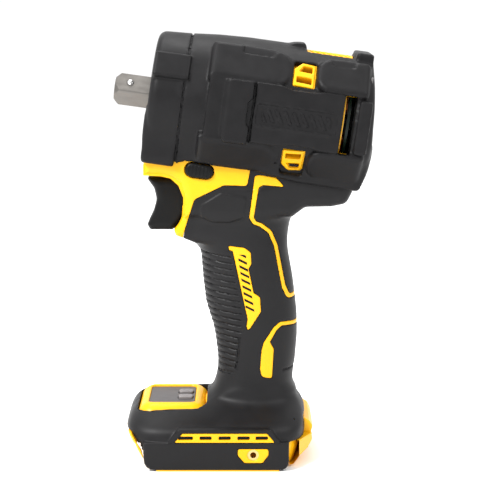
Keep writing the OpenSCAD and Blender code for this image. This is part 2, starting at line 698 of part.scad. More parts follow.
module stator_core() color("#6b6765") in_head() on_axis(s_stack) difference() {
    cylinder(r = stator_r, h = stack_len);
    translate([0, 0, -1]) cylinder(r = rotor_r + 0.5, h = stack_len + 2);
    around([for (a = slot_angles) a + 30], 0) translate([0, 0, -1]) linear_extrude(stack_len + 2)
        polygon([[10, -0.8], [12.8, -0.8], [13.2, -4.2], [18.6, -7.4], [18.6, 7.4], [13.2, 4.2],
            [12.8, 0.8], [10, 0.8]]);
}

// Ring and tooth shoes at each end of the stack
module stator_insulators() color("#d8d4c8") in_head() for (s = [s_stack - 1.05, s_stack_rear + 0.05])
    on_axis(s) difference() {
        cylinder(r = 21.8, h = 1);
        translate([0, 0, -1]) cylinder(r = rotor_r + 0.9, h = 3);
        around([for (a = slot_angles) a + 30], 0) translate([0, 0, -1]) linear_extrude(3)
            polygon([[10, -0.8], [12.8, -0.8], [13.2, -4.2], [18.6, -7.4], [18.6, 7.4],
                [13.2, 4.2], [12.8, 0.8], [10, 0.8]]);
    }

// One coil round each tooth
module stator_windings() color("#b5652b") in_head() on_axis(s_stack + stack_len/2)
    around(slot_angles, 16) difference() {
        cube([4.2, 8.2, stack_len + 3.8], center = true);
        cube([5, 6, stack_len + 2.2], center = true);
    }

module sensor_board() color("darkgreen") in_head() on_axis(s_sensor) difference() {
    cylinder(r = 19.6, h = 1);
    translate([0, 0, -1]) cylinder(r = 6.5, h = 3);
}

// ---------- controls and electronics ----------

module trigger() color("#262527") {
    side_plate(trigger_outline, -trigger_half_w, trigger_half_w);
    translate([trigger_back_x - 1, 0, trigger_stem_z]) rotate([0, 90, 0])
        cylinder(r = trigger_stem_r, h = 1 + 10.5);
}

module trigger_spring() color("silver") translate([trigger_back_x + 0.05, 0, trigger_stem_z])
    rotate([0, 90, 0]) coil(4.2, 0.4, switch_front_x - trigger_back_x - 0.1, 3);

module switch_body() color("#1f1f21") difference() {
    translate([switch_front_x, -8.5, 97]) cube([18, 17, 20.4]);
    translate([switch_front_x - 1, 0, trigger_stem_z]) rotate([0, 90, 0])
        cylinder(r = trigger_stem_r + run_gap, h = 1 + 11);
}

module direction_button() color("#262527") intersection() {
    button_shape(0);
    translate([-60, -button_half_len, 100]) cube([120, 2*button_half_len, 40]);
}

module control_module() color("#3c3f44") translate([-15, -17, 13.45]) cube([30, 34, 4.6]);

module terminal_block() color("#1f1f21") difference() {
    union() {
        translate([-6, -14, 4.4]) cube([12, 28, bay_ceiling - 4.5]);
        translate([-5.6, -10.4, bay_ceiling - 0.5]) cube([11, 20.8, 2.8]);
    }
    for (y = blade_spots) translate([-8, y - 0.4, 5.6]) cube([6, 0.8, 4]);
}

blade_spots = [for (i = [0:blade_count - 1]) 6*(i - (blade_count - 1)/2)];

module terminal_blades() color("#b98b3a") for (y = blade_spots)
    translate([-13.5, y - 0.39, 5.62]) cube([11.4, 0.78, 3.96]);

// Insulated wire through a list of points
module wire(points, r) for (i = [0:len(points) - 2]) hull() {
    translate(points[i]) sphere(r, $fn = 8);
    translate(points[i + 1]) sphere(r, $fn = 8);
}

module wiring() color("#8a2323") {
    for (i = [-1, 0, 1]) wire([[5.2, 3.2*i, 19.1], [4.6, 3.2*i, 60], [4, 3.2*i, 92], [14, 3.2*i, 109],
        [27.6, 3.2*i, 113.8]], 0.9);
    for (i = [-1, 1]) wire([[3, 6*i, 19], [2.6, 6*i, 50], [-4, 6*i, 95.9]], 0.8);
}

housing_left();
housing_right();
grip_skin_left();
grip_skin_right();
protective_boot();
rear_cap();
foot_bumper();
trigger();
direction_button();
belt_hook_inserts();
mode_bezel();
mode_panel();
mode_key();
lamp_key();
mode_board();
housing_screws();
rear_cap_screws();
hammer_case_screws();
hammer_case();
nose_ring();
lamp_board();
lamp_lenses();
anvil();
detent_pin();
detent_spring();
anvil_bushing();
nose_seal();
thrust_washer();
hammer();
hammer_spring();
cam_balls();
cam_carrier();
carrier_bearing();
planet_gear_1();
planet_gear_2();
planet_gear_3();
planet_pins();
ring_gear();
gear_plate();
rotor_shaft();
rotor_stack();
rotor_magnets();
fan();
front_rotor_bearing();
rear_rotor_bearing();
stator_core();
stator_insulators();
stator_windings();
sensor_board();
switch_body();
trigger_spring();
control_module();
wiring();
terminal_block();
terminal_blades();
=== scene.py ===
import json
import math

import bpy
import numpy as np
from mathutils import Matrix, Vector


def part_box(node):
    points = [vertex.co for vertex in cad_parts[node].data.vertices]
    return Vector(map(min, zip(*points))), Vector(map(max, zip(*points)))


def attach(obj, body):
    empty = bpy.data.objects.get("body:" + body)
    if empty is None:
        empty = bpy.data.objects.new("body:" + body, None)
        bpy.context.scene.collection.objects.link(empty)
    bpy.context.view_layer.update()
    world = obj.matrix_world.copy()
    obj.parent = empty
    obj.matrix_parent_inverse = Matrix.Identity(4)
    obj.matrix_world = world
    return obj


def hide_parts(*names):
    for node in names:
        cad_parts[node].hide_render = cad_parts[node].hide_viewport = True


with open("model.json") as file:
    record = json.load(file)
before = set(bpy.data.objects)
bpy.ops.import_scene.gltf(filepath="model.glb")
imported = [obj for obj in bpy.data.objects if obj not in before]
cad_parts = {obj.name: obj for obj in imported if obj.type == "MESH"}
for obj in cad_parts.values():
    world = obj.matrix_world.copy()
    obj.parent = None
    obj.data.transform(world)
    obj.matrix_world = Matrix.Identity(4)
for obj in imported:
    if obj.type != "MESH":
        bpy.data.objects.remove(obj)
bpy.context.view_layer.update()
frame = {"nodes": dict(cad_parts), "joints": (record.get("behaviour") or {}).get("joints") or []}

# Lengths below are millimetres unless a name says metres. Smooth pieces are described as fields,
# functions that give a signed distance at points, and surface() turns a field into a mesh.
METRE = 0.001
NODES = frame["nodes"]


# ---------------------------------------------------------------- the frame

def joint(name):
    return next(j for j in frame["joints"] if j["name"] == name)


def low(node):
    return np.array(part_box(node)[0]) / METRE


def high(node):
    return np.array(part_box(node)[1]) / METRE


SPINDLE = np.array(joint("anvil_spin")["axis"], float)
SPINDLE_AT = np.array(joint("anvil_spin")["pos_m"], float) / METRE
TILT = math.asin(abs(SPINDLE[2]) / np.linalg.norm(SPINDLE))
AXIS_X, AXIS_Z = SPINDLE_AT[0], SPINDLE_AT[2]
COS_TILT, SIN_TILT = math.cos(TILT), math.sin(TILT)


def head(p):
    """Points in the head's own frame: x runs back along the spindle, z up across it."""
    x, z = p[:, 0] - AXIS_X, p[:, 2] - AXIS_Z
    return np.stack([x * COS_TILT - z * SIN_TILT, p[:, 1], x * SIN_TILT + z * COS_TILT], 1)


def from_head(s, y, t):
    """A point of the head's frame, in the frame of the whole tool."""
    return (AXIS_X + s * COS_TILT + t * SIN_TILT, y, AXIS_Z - s * SIN_TILT + t * COS_TILT)


# ---------------------------------------------------------------- fields

def union(a, b, r=0.0):
    """The nearer of two fields, with a fillet of about r where they meet."""
    if r <= 0:
        return np.minimum(a, b)
    h = np.maximum(r - np.abs(a - b), 0) / r
    return np.minimum(a, b) - h * h * r / 4


def common(a, b, r=0.0):
    """What two fields share, with an edge rounded by about r."""
    return -union(-a, -b, r)


def cut(a, b, r=0.0):
    """Field a without field b."""
    return common(a, -b, r)


def union_all(fields, r=0.0):
    d = fields[0]
    for other in fields[1:]:
        d = union(d, other, r)
    return d


def box(p, low_corner, high_corner, r=0.5):
    """A box between two corners, its edges rounded by r."""
    middle = (np.array(low_corner, float) + np.array(high_corner, float)) / 2
    half = (np.array(high_corner, float) - np.array(low_corner, float)) / 2 - r
    q = np.abs(p - middle) - half
    return np.linalg.norm(np.maximum(q, 0), axis=1) + np.minimum(q.max(1), 0) - r


def rounded(corners, steps=4):
    """An outline from corners (u, v, r), each corner replaced by an arc of radius r."""
    out = []
    for i, (u, v, r) in enumerate(corners):
        at = np.array([u, v], float)
        before = np.array(corners[i - 1][:2], float) - at
        after = np.array(corners[(i + 1) % len(corners)][:2], float) - at
        reach_before, reach_after = np.linalg.norm(before), np.linalg.norm(after)
        before, after = before / reach_before, after / reach_after
        half_angle = math.acos(max(-1, min(1, float(before @ after)))) / 2
        run = min(r / max(math.tan(half_angle), 1e-6), reach_before * 0.49, reach_after * 0.49)
        if run < 1e-3:
            out.append(tuple(at))
            continue
        start, end = at + before * run, at + after * run
        for k in range(steps + 1):
            w = k / steps
            out.append(tuple((1 - w) ** 2 * start + 2 * w * (1 - w) * at + w * w * end))
    return np.array(out)


FAR = 4.0            # beyond this, the distance to an outline's bounding box will do
BATCH = 400_000      # points worked on at a time


def outline(u, v, corners, steps=4):
    """Signed distance to a closed outline with rounded corners."""
    points = rounded(corners, steps)
    low_u, low_v = points.min(0)
    high_u, high_v = points.max(0)
    away = np.hypot(np.maximum(np.maximum(low_u - u, u - high_u), 0),
                    np.maximum(np.maximum(low_v - v, v - high_v), 0))
    near = np.nonzero(away < FAR)[0]
    u, v = u[near], v[near]
    inside = np.zeros(len(u), bool)
    nearest = np.full(len(u), 1e18)
    for i in range(len(points)):
        au, av = points[i - 1]
        bu, bv = points[i]
        du, dv = bu - au, bv - av
        w = np.clip(((u - au) * du + (v - av) * dv) / (du * du + dv * dv + 1e-12), 0, 1)
        nearest = np.minimum(nearest, (u - au - w * du) ** 2 + (v - av - w * dv) ** 2)
        crosses = (av > v) != (bv > v)
        if abs(dv) > 1e-9:
            inside ^= crosses & (u < au + (v - av) * du / dv)
    away[near] = np.where(inside, -1, 1) * np.sqrt(nearest)
    return away


def track(stations, values, at, soften=1.0):
    """A smooth curve through stepped stations, read at the heights or lengths in at."""
    fine = np.arange(stations[0] - 6 * soften, stations[-1] + 6 * soften, soften / 3)
    raw = np.interp(fine, stations, values)
    weights = np.exp(-0.5 * (np.arange(-9, 10) / 3.0) ** 2)
    padded = np.pad(raw, 9, mode="edge")
    return np.interp(at, fine, np.convolve(padded, weights / weights.sum(), mode="valid"))


def loft(p, sections, power, soften=2.0):
    """A body of superellipse sections [height, front, rear, half width]."""
    rows = np.array(sections, float)
    x, y, z = p[:, 0], p[:, 1], p[:, 2]
    front = track(rows[:, 0], rows[:, 1], z, soften)
    rear = track(rows[:, 0], rows[:, 2], z, soften)
    wide = track(rows[:, 0], rows[:, 3], z, soften)
    half = (rear - front) / 2
    u = np.abs(x - (front + rear) / 2) / half
    v = np.abs(y) / wide
    n = np.maximum((u ** power + v ** power) ** (1 / power), 1e-3)
    slope = np.hypot((u / n) ** (power - 1) / half, (v / n) ** (power - 1) / wide)
    return (n - 1) / np.maximum(slope, 1 / (2 * np.maximum(half, wide)))


# ---------------------------------------------------------------- meshes from fields

BLOCK = 8            # cells along each side of a block of the grid
EDGES = ((0, 1, 2), (1, 2, 0), (2, 0, 1))


def corner_values(field, corners, step, span):
    """The field at a block's grid points, for many blocks."""
    ticks = np.arange(span) * step
    grid = np.stack(np.meshgrid(ticks, ticks, ticks, indexing="ij"), -1).reshape(-1, 3)
    values = np.empty((len(corners), len(grid)))
    size = max(1, BATCH // len(grid))
    for i in range(0, len(corners), size):
        points = (corners[i:i + size, None, :] + grid[None]).reshape(-1, 3)
        values[i:i + size] = field(points).reshape(-1, len(grid))
    return values.reshape(-1, span, span, span)


def gradient(field, p, h):
    """The field's slope by four samples round each point."""
    way = np.array([[1, 1, 1], [1, -1, -1], [-1, 1, -1], [-1, -1, 1]], float)
    return sum(way[k] * field(p + way[k] * h)[:, None] for k in range(4)) / (4 * h)


def net(field, low_corner, high_corner, step):
    """Vertices and quads of a field's zero surface, one vertex in each cell that it passes."""
    low_corner = np.array(low_corner, float) - 1.5 * step
    high_corner = np.array(high_corner, float) + 1.5 * step
    side = BLOCK * step
    counts = np.ceil((high_corner - low_corner) / side).astype(int)
    blocks = np.stack(np.meshgrid(*[np.arange(c) for c in counts], indexing="ij"), -1).reshape(-1, 3)
    middles = low_corner + (blocks + 0.5) * side
    near = np.abs(field(middles)) < side * 1.25
    blocks = blocks[near]
    values = corner_values(field, low_corner + blocks * side, step, BLOCK + 1)
    solid = values < 0
    total = counts * BLOCK + 1

    def cell_id(i, j, k):
        return (i * total[1] + j) * total[2] + k

    around = [solid[:, a:a + BLOCK, b:b + BLOCK, c:c + BLOCK]
              for a in (0, 1) for b in (0, 1) for c in (0, 1)]
    filled = sum(s.astype(np.int8) for s in around)
    which, i, j, k = np.nonzero((filled > 0) & (filled < 8))
    cells = blocks[which] * BLOCK + np.stack([i, j, k], 1)
    ids = cell_id(cells[:, 0], cells[:, 1], cells[:, 2])
    order = np.argsort(ids)
    ids, cells = ids[order], cells[order]
    points = low_corner + (cells + 0.5) * step
    quads = []
    for axis, left, right in EDGES:
        start = solid[:, :BLOCK, :BLOCK, :BLOCK]
        shift = [slice(0, BLOCK)] * 3
        shift[axis] = slice(1, BLOCK + 1)
        end = solid[:, shift[0], shift[1], shift[2]]
        which, i, j, k = np.nonzero(start != end)
        at = blocks[which] * BLOCK + np.stack([i, j, k], 1)
        outward = start[which, i, j, k]
        ring = []
        for back_left, back_right in ((1, 1), (0, 1), (0, 0), (1, 0)):
            cell = at.copy()
            cell[:, left] -= back_left
            cell[:, right] -= back_right
            ring.append(cell_id(cell[:, 0], cell[:, 1], cell[:, 2]))
        ring = np.stack(ring, 1)
        ring[~outward] = ring[~outward][:, ::-1]
        quads.append(ring)
    quads = np.concatenate(quads)
    found = np.searchsorted(ids, quads)
    found = np.minimum(found, len(ids) - 1)
    whole = (ids[found] == quads).all(1)
    return points, found[whole]


def settle(field, points, step, rounds=3):
    """Moves vertices onto the zero surface along the field's slope."""
    for _ in range(rounds):
        slope = gradient(field, points, step * 0.12)
        square = np.maximum((slope ** 2).sum(1), 0.05)
        move = slope * (field(points) / square)[:, None]
        size = np.linalg.norm(move, axis=1, keepdims=True)
        points = points - move * np.minimum(1, 0.6 * step / np.maximum(size, 1e-9))
    return points


def surface(name, field, low_corner, high_corner, step, crease=38):
    """A mesh object of a field's surface, shaded smooth apart from edges sharper than crease."""
    points, quads = net(field, low_corner, high_corner, step)
    points = settle(field, points, step)
    mesh = bpy.data.meshes.new(name)
    mesh.vertices.add(len(points))
    mesh.vertices.foreach_set("co", (points * METRE).astype(np.float32).ravel())
    mesh.loops.add(4 * len(quads))
    mesh.loops.foreach_set("vertex_index", quads.astype(np.int32).ravel())
    mesh.polygons.add(len(quads))
    mesh.polygons.foreach_set("loop_start", np.arange(len(quads), dtype=np.int32) * 4)
    mesh.update(calc_edges=True)
    mesh.validate()
    mesh.shade_smooth()
    mesh.set_sharp_from_angle(angle=math.radians(crease))
    piece = bpy.data.objects.new(name, mesh)
    bpy.context.scene.collection.objects.link(piece)
    return piece


def place(piece, look, body="tool", replaces=()):
    """Gives a piece its material and its body, and hides the CAD nodes that it stands for."""
    piece.data.materials.clear()
    piece.data.materials.append(look)
    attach(piece, body)
    if replaces:
        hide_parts(*replaces)
    return piece


# ---------------------------------------------------------------- the tool's forms

BARREL_ROOM = 25.2   # radius kept clear of the skins, for the housing's barrel
SKIN = 1.25          # thickness of the rubber skins
SEAM = 0.14          # half the gap round an inlay
FOOT_HALF = 33.0
BLOCK_HALF = 16.8
GRIP = [  # height, front, rear, half width
    [19, -13.2, 20.6, 17], [25, -12.9, 20.3, 16.4], [31, -12.4, 20, 15.6], [35, -11.5, 20.3, 14.9],
    [40, -11.3, 21.1, 14.6], [50, -12.4, 21.9, 14.8], [55, -13.4, 21.9, 15], [60, -15, 21.7, 15.1],
    [65, -16.4, 21.2, 15.2], [75, -17.5, 19.9, 15.4], [86, -18.3, 17.9, 15.6],
    [89.4, -20.3, 17.7, 15.7], [92, -25, 17.7, 15.8], [93.6, -28.4, 17.9, 15.9],
    [95.4, -29.2, 18.1, 15.9], [98, -27.6, 18.6, 16], [104, -25, 20, 16.2], [112, -25, 24, 16.4]]
DOME = [
    [6, -47.8, 23.4, 32.4], [12.5, -49.7, 25, 32.9], [16.6, -48.9, 25, 31.9],
    [19.3, -47.5, 24.3, 28.2], [21.4, -45.7, 23, 23], [23.2, -42.9, 21.2, 17],
    [25.2, -38.2, 18.4, 10.8]]
LIP = [
    [0, -40.2, 0, 32.2], [4, -42.9, 0, 32.3], [9, -45.6, 0, 32.4], [13, -47.7, 0, 31.4],
    [16, -49.1, 0, 29], [18, -49.3, 0, 26.5], [20, -48.2, 0, 23]]
BELOW_HEAD = [
    (-41, 119, 1.2), (-41, 132, 0.5), (30, 132, 0.5), (46, 126, 2), (45.2, 118, 3), (43.6, 112, 4),
    (41.2, 107.2, 4), (35, 106, 4), (24.5, 105.8, 4), (19, 101.6, 3), (-24.8, 101.6, 1),
    (-24.9, 110.4, 5), (-26.4, 115.4, 3), (-30, 118.1, 3), (-34, 118.9, 2)]
HORN = [  # the corner of the frame under the trigger
    (-24.9, 106, 1), (-25.2, 102, 3), (-27, 98.6, 2), (-29, 96, 1.2), (-28.2, 93.8, 1), (-20, 90.5, 2),
    (-10, 92, 1), (-10, 106, 1)]
FRAME = [  # the yellow frame round the trigger
    (-44, 118.6, 0.3), (-44, 134, 0.3), (2.6, 134, 0.3), (2, 120.5, 0.5), (0.9, 114.9, 1.4),
    (-8.5, 115.2, 3), (-20.4, 109.4, 2.5), (-22.3, 103.5, 5), (-24.6, 96.2, 0.4), (-25.6, 91.6, 0.4),
    (-34, 92, 0.3), (-34, 118.6, 0.3)]


def grip_form(p):
    return common(loft(p, GRIP, 2.4, 1.1), np.abs(p[:, 2] - 65.5) - 46.5, 0.5)


def block_form(p):
    side = outline(p[:, 0], p[:, 2], BELOW_HEAD)
    return common(side, np.abs(p[:, 1]) - BLOCK_HALF, 4.4)


def dome_form(p):
    return common(loft(p, DOME, 4.6, 1.3), np.abs(p[:, 2] - 14.5) - 9.5, 1.5)


SKIRT = [(-41.2, 13.2, 0.5), (-41.2, 0.45, 5), (17.9, 0.45, 4), (17.9, 13.2, 0.5)]


def skirt_form(p):
    """The walls either side of the battery slot, flat outside, with a ledge on top."""
    side = outline(p[:, 0], p[:, 2], SKIRT)
    return common(common(side, p[:, 2] - 12.2, 0.8), np.abs(p[:, 1]) - FOOT_HALF, 1.0)


def body_form(p):
    """Grip, block under the head and foot in one, before any detail."""
    horn = common(outline(p[:, 0], p[:, 2], HORN), np.abs(p[:, 1]) - 13.5, 3)
    trunk = union(union(grip_form(p), block_form(p), 3.5), horn, 2)
    return union(union(trunk, dome_form(p), 9), skirt_form(p), 0.4)


# ---------------------------------------------------------------- outlines on the grip and the foot

BUTTON_LOW, BUTTON_HIGH = low("direction_button"), high("direction_button")
BUTTON_X = (BUTTON_LOW[0] + BUTTON_HIGH[0]) / 2
BUTTON_Z = (BUTTON_LOW[2] + BUTTON_HIGH[2]) / 2
BUTTON_HALF = (BUTTON_HIGH[2] - BUTTON_LOW[2]) / 2 - 0.4
BUTTON_REACH = (BUTTON_HIGH[0] - BUTTON_LOW[0]) / 2


def button_side(p):
    """Signed distance across the direction button, a tilted stadium seen from the side."""
    x, z = p[:, 0] - BUTTON_X, p[:, 2] - BUTTON_Z
    u, v = x * COS_TILT - z * SIN_TILT, x * SIN_TILT + z * COS_TILT
    flat = BUTTON_REACH - BUTTON_HALF
    return np.hypot(np.maximum(np.abs(u) - flat, 0), v) - BUTTON_HALF


PIPE_UPPER = [
    (16, 114.5, 0.5), (12.6, 118.2, 1.2), (6, 119.3, 1), (4.1, 118.9, 0.8), (1.8, 101.8, 1.6),
    (3.4, 99.1, 1.5), (6, 98.1, 3), (9.6, 95.2, 3), (12, 89.5, 4), (15.3, 72, 3), (17.5, 67.2, 2.2),
    (24, 67.2, 0.3), (24, 68.7, 0.3), (18.4, 68.8, 1.2), (16.6, 73, 2), (13.3, 90, 4), (10.8, 96, 3),
    (6.8, 99.4, 3), (4.7, 100.1, 1.2), (3.6, 102, 1.2), (5.6, 114.2, 1.2), (7.4, 115.3, 1)]
PIPE_LOWER = [
    (24, 55.4, 0.3), (24, 56.8, 0.3), (18.5, 57.6, 2), (14.4, 57.8, 2), (11.8, 55.6, 2), (7.8, 49.4, 1),
    (6.9, 46, 1), (6.3, 38, 1), (7.1, 34.9, 1.6), (11.2, 34.1, 0.9), (11.9, 46.6, 0.9),
    (10.3, 49.6, 0.6), (13, 54.4, 1.6), (15.2, 56.3, 1.5), (18, 56.1, 2)]
LABEL = [
    (-6.6, 90.1, 0.4), (-6.4, 88.4, 0.4), (-4.9, 88, 0.6), (1.2, 59.4, 0.8), (0.7, 56.4, 0.4),
    (1.2, 54.8, 0.3), (2.2, 55.6, 0.3), (6.6, 62.6, 1.5), (6.2, 68.6, 1.5), (3.6, 70.4, 0.8),
    (1.5, 80.6, 0.6), (2.6, 82.6, 1), (2.4, 87.4, 2), (-0.3, 89.3, 1)]
HEX = [(-18, 107, 0.8), (-9.5, 112, 1), (0.6, 110.2, 1), (-0.4, 102, 1), (-6, 100, 1),
       (-13, 100, 1), (-17.6, 102, 1)]
RIBS = [(-30, 88.5, 1), (-5.4, 88.5, 1), (-4.9, 86.5, 1), (-0.2, 62, 1), (-1, 52, 1), (-3.4, 37.6, 1),
        (-30, 37.6, 1)]
VENT_STRIP = [(-28.6, 12.25, 0.4), (12.2, 12.25, 0.4), (9, 16.1, 0.9), (-25.2, 16.1, 0.9)]
VENT_HOOD = [(-31.4, 12.2, 0.3), (14.6, 12.2, 0.3), (10.4, 17.7, 2), (-26.9, 17.7, 2)]
HOOK_PLATE = [(-2.8, 9.5, 0.9), (-2.8, 6.8, 1.2), (-0.1, 3.7, 1.2), (7.2, 3.7, 1.2), (9.6, 7, 1.2),
              (9.6, 9.5, 0.9)]
LIP_EDGE = [(-60, -1, 0.3), (-41, -1, 0.3), (-41.3, 5, 2), (-42.1, 8.4, 2), (-44.7, 12.3, 2),
            (-46.3, 14.6, 0.6), (-60, 14.8, 0.3)]
HEEL_LOW = [(18.05, -2, 0.3), (18.05, 11.5, 0.8), (40, 11.5, 0.3), (40, -2, 0.3)]
HEEL_EDGE = [(18.05, -2, 0.3), (18.05, 12.4, 0.8), (24.4, 18.4, 0.3), (40, 18.4, 0.3), (40, -2, 0.3)]
BEZEL_LOW, BEZEL_HIGH = low("mode_bezel"), high("mode_bezel")
PANEL_LOW, PANEL_HIGH = low("mode_panel"), high("mode_panel")


def heel_side(p):
    """Signed distance to the heel's patch, low at its ends and higher in the middle."""
    x, z = p[:, 0], p[:, 2]
    high_part = common(outline(x, z, HEEL_EDGE), np.abs(p[:, 1]) - 15, 1)
    return union(high_part, outline(x, z, HEEL_LOW))


def plate(u, v, left, right, bottom, top, r):
    """Signed distance to a rounded rectangle."""
    a = np.abs(u - (left + right) / 2) - (right - left) / 2 + r
    b = np.abs(v - (bottom + top) / 2) - (top - bottom) / 2 + r
    return np.hypot(np.maximum(a, 0), np.maximum(b, 0)) + np.minimum(np.maximum(a, b), 0) - r


def bezel_side(p):
    return plate(p[:, 0], p[:, 1], BEZEL_LOW[0], BEZEL_HIGH[0], BEZEL_LOW[1], BEZEL_HIGH[1], 6.5)


def panel_side(p):
    return plate(p[:, 0], p[:, 1], PANEL_LOW[0] - 0.1, PANEL_HIGH[0] + 0.1,
                 PANEL_LOW[1] - 0.1, PANEL_HIGH[1] + 0.1, 2.2)


# ---------------------------------------------------------------- the rubber skins

RIB_PITCH, RIB_SLOPE, RIB_DEPTH = 2.6, 0.13, 0.55


def rib_cut(p):
    """How deep the grip's ribs are cut, zero outside the ribbed patch."""
    patch = outline(p[:, 0], p[:, 2], RIBS)
    fade = np.clip(-patch / 1.2, 0, 1)
    phase = ((p[:, 2] + RIB_SLOPE * p[:, 0]) / RIB_PITCH) % 1
    groove = np.clip(1 - np.abs(phase - 0.5) * 4.2, 0, 1)
    return RIB_DEPTH * fade * groove ** 1.3


def skin_outside(p):
    """The rubber's outer surface with its ribs, grooves and raised parts."""
    x, y, z = p[:, 0], p[:, 1], p[:, 2]
    wide = np.abs(y)
    d = body_form(p)
    d = d + np.where((z > 36) & (z < 90), rib_cut(p), 0)
    flank = wide - 9
    hexagon = outline(x, z, HEX)
    d = d - 0.4 * np.clip(0.5 - hexagon / 0.5, 0, 1) * (flank > 0)
    seam_line = np.abs(x + 2.75 - 0.115 * (z - 44.5)) - 0.42
    lower_seam = common(common(seam_line, np.abs(z - 44.5) - 6.8, 0.3), -flank)
    d = cut(d, common(lower_seam, -(d + 0.5)), 0.2)
    step = np.maximum(np.abs(z - 36.4 - 0.05 * x) - 0.42, np.minimum(x + 4.5, 15.5 - x))
    d = cut(d, np.maximum(step, -(d + 0.45)), 0.25)
    hood = common(outline(x, z, VENT_HOOD), wide - 33.25, 0.7)
    return union(d, np.maximum(hood, 24 - wide), 0.5)


SCREW_SPOTS = [(-35, 120.8), (34, 112.6), (9.8, 90.6), (-9.8, 81), (-3, 44), (13.6, 44)]


def inlay_side(p):
    """Signed distance to everything that the rubber leaves bare, seen from the side."""
    x, z = p[:, 0], p[:, 2]
    wide = np.abs(p[:, 1])
    flank = 5 - wide
    on_side = [outline(x, z, PIPE_UPPER), outline(x, z, PIPE_LOWER),
               common(outline(x, z, LABEL), flank), common(outline(x, z, VENT_STRIP), 24 - wide),
               common(outline(x, z, HOOK_PLATE), 24 - wide)]
    bare = union_all([outline(x, z, FRAME)] + on_side)
    return union(bare, outline(x, z, LIP_EDGE))


def skin_field(side):
    """One half of the rubber skin, as a shell over the housing."""
    def field(p):
        x, y, z = p[:, 0], p[:, 1], p[:, 2]
        outer = skin_outside(p)
        base = body_form(p)
        # the field is steep over the foot's flat top, so the layer is given more of it there
        steep = 1 + 2.4 * np.clip((z - 13.5) / 3, 0, 1) * np.clip((33 - z) / 4, 0, 1)
        d = np.maximum(outer, -(base + SKIN * steep))
        d = cut(d, inlay_side(p) - SEAM, 0.25)
        q = head(p)
        d = np.maximum(d, BARREL_ROOM - np.hypot(q[:, 1], q[:, 2]))
        bay = np.maximum(np.maximum(z - 11, x - 15.5), np.abs(y) - 29)
        d = np.maximum(d, -bay)
        d = cut(d, np.maximum(bezel_side(p) - 0.15, np.abs(z - 22.5) - 5.5), 0.3)
        d = cut(d, heel_side(p), 0.3)
        trigger_slot = box(p, (-60, -9.5, 96.2), (-20, 9.5, 119), 0.3)
        d = cut(d, trigger_slot, 0.2)
        if side > 0:
            for sx, sz in SCREW_SPOTS:
                hole = np.hypot(x - sx, z - sz) - 3.15
                d = cut(d, np.maximum(hole, 8 - y), 0.4)
        return common(d, 0.06 - side * y, 0.35)
    return field


# ---------------------------------------------------------------- the rubber boot

BOOT_FRONT = -38.5
UPPER, LOWER = math.radians(49), math.radians(128.5)      # the long pads, from the top
VENT_ANGLES = math.radians(50), math.radians(130)


def along(q, angle):
    """Distance across and out from the spindle, for a bar at an angle from the top."""
    wide = np.abs(q[:, 1])
    out = wide * math.sin(angle) + q[:, 2] * math.cos(angle)
    across = wide * math.cos(angle) - q[:, 2] * math.sin(angle)
    return across, out


def bar(q, angle, corners, height, edge=2.0, slope_from=None, slope=0.0):
    """A raised pad along the head: an outline in length and width, with a flat top."""
    across, out = along(q, angle)
    d = common(outline(q[:, 0], across, corners), out - height, edge)
    if slope_from is not None:
        lean = (out - height + slope * (q[:, 0] - slope_from)) / math.hypot(1, slope)
        d = common(d, lean, edge)
    return np.maximum(d, 12 - out)


REAR_EDGE_AT = [-28, -20, -12, -7, 0, 8, 16, 22, 29]
REAR_EDGE = [50.3, 51.3, 52.1, 52.1, 51.4, 50.9, 50.1, 49.3, 48.2]


